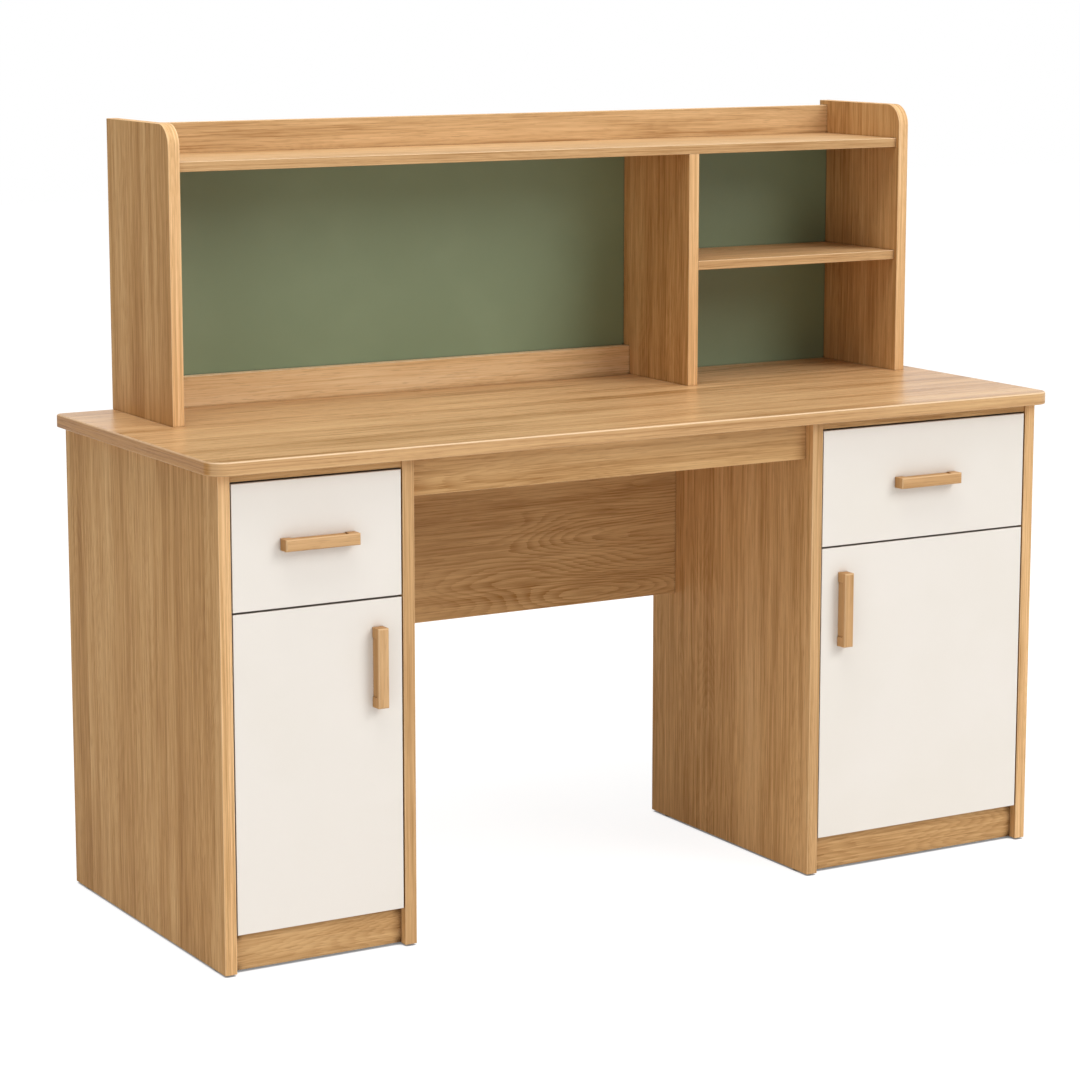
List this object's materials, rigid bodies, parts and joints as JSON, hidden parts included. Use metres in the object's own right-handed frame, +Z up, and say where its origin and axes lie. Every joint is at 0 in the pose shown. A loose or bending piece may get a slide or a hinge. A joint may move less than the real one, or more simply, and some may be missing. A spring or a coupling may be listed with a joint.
{
  "type": "student desk with hutch",
  "caption": "Pedestal writing desk with inset drawers over cupboards, a knee space between, and a low bookcase hutch with a back panel along the rear of the worktop.",
  "frame": {"origin": "on the floor, under the middle of the worktop", "axes": "+X to the user's right along the worktop, +Y from the user to the hutch, +Z up"},
  "size_m": [1.49, 0.58, 1.2],
  "materials": {
    "oak": "oak-effect melamine, satin",
    "white_front": "warm white lacquer, satin",
    "green_panel": "sage green lacquer, matt",
    "handle_oak": "oiled light oak",
    "drawer_box": "pale birch-effect foil",
    "thin_panel": "foil-faced hardboard",
    "runner_enamel": "white epoxy enamel",
    "roller_nylon": "moulded nylon",
    "hinge_steel": "nickel-plated steel",
    "glide_plastic": "dark moulded plastic"
  },
  "bodies": {
    "desk": {"worktop": "oak", "left_outer_side": "oak", "left_inner_side": "oak", "right_inner_side": "oak", "right_outer_side": "oak", "apron": "oak", "modesty_panel": "oak", "floor_glides": "glide_plastic", "left_top_rail": "oak", "left_drawer_shelf": "oak", "left_cupboard_floor": "oak", "left_cupboard_shelf": "oak", "left_plinth": "oak", "left_back_panel": "thin_panel", "left_runner_channels": "runner_enamel", "left_hinge_arms": "hinge_steel", "right_top_rail": "oak", "right_drawer_shelf": "oak", "right_cupboard_floor": "oak", "right_cupboard_shelf": "oak", "right_plinth": "oak", "right_back_panel": "thin_panel", "right_runner_channels": "runner_enamel", "right_hinge_arms": "hinge_steel", "hutch_left_side": "oak", "hutch_right_side": "oak", "hutch_top_shelf": "oak", "hutch_gallery_rail": "oak", "hutch_divider": "oak", "hutch_small_shelf": "oak", "hutch_bottom_rail": "oak", "hutch_back_panel": "green_panel"},
    "left_drawer": {"left_drawer_front": "white_front", "left_drawer_left_side": "drawer_box", "left_drawer_right_side": "drawer_box", "left_drawer_back": "drawer_box", "left_drawer_bottom": "thin_panel", "left_drawer_handle": "handle_oak", "left_drawer_rails": "runner_enamel"},
    "left_door": {"left_door": "white_front", "left_door_handle": "handle_oak", "left_hinge_cups": "hinge_steel", "left_hinge_pins": "hinge_steel"},
    "left_front_rollers": {"left_front_rollers": "roller_nylon"},
    "left_rear_rollers": {"left_rear_rollers": "roller_nylon"},
    "right_drawer": {"right_drawer_front": "white_front", "right_drawer_left_side": "drawer_box", "right_drawer_right_side": "drawer_box", "right_drawer_back": "drawer_box", "right_drawer_bottom": "thin_panel", "right_drawer_handle": "handle_oak", "right_drawer_rails": "runner_enamel"},
    "right_door": {"right_door": "white_front", "right_door_handle": "handle_oak", "right_hinge_cups": "hinge_steel", "right_hinge_pins": "hinge_steel"},
    "right_front_rollers": {"right_front_rollers": "roller_nylon"},
    "right_rear_rollers": {"right_rear_rollers": "roller_nylon"}
  },
  "joints": [
    {"name": "left_drawer_slide", "type": "slide", "parent": "desk", "child": "left_drawer", "axis": [0, -1, 0], "range_m": [0, 0.3]},
    {"name": "left_door_swing", "type": "hinge", "parent": "desk", "child": "left_door", "pos_m": [-0.682, -0.258, 0.2935], "axis": [0, 0, -1], "range_deg": [0, 100]},
    {"name": "left_front_roller_spin", "type": "hinge", "parent": "desk", "child": "left_front_rollers", "pos_m": [-0.5715, -0.23, 0.5607], "axis": [1, 0, 0], "range_deg": [0, 1720]},
    {"name": "left_rear_roller_spin", "type": "hinge", "parent": "left_drawer", "child": "left_rear_rollers", "pos_m": [-0.5715, 0.135, 0.5585], "axis": [1, 0, 0], "range_deg": [0, 1720]},
    {"name": "right_drawer_slide", "type": "slide", "parent": "desk", "child": "right_drawer", "axis": [0, -1, 0], "range_m": [0, 0.3]},
    {"name": "right_door_swing", "type": "hinge", "parent": "desk", "child": "right_door", "pos_m": [0.682, -0.258, 0.2935], "axis": [0, 0, 1], "range_deg": [0, 100]},
    {"name": "right_front_roller_spin", "type": "hinge", "parent": "desk", "child": "right_front_rollers", "pos_m": [0.5075, -0.23, 0.5607], "axis": [1, 0, 0], "range_deg": [0, 1720]},
    {"name": "right_rear_roller_spin", "type": "hinge", "parent": "right_drawer", "child": "right_rear_rollers", "pos_m": [0.5075, 0.135, 0.5585], "axis": [1, 0, 0], "range_deg": [0, 1720]}
  ],
  "couplings": [
    {"joint": "left_front_roller_spin", "follows": "left_drawer_slide", "rad_per_m": 100},
    {"joint": "left_rear_roller_spin", "follows": "left_drawer_slide", "rad_per_m": 100},
    {"joint": "right_front_roller_spin", "follows": "right_drawer_slide", "rad_per_m": 100},
    {"joint": "right_rear_roller_spin", "follows": "right_drawer_slide", "rad_per_m": 100}
  ]
}
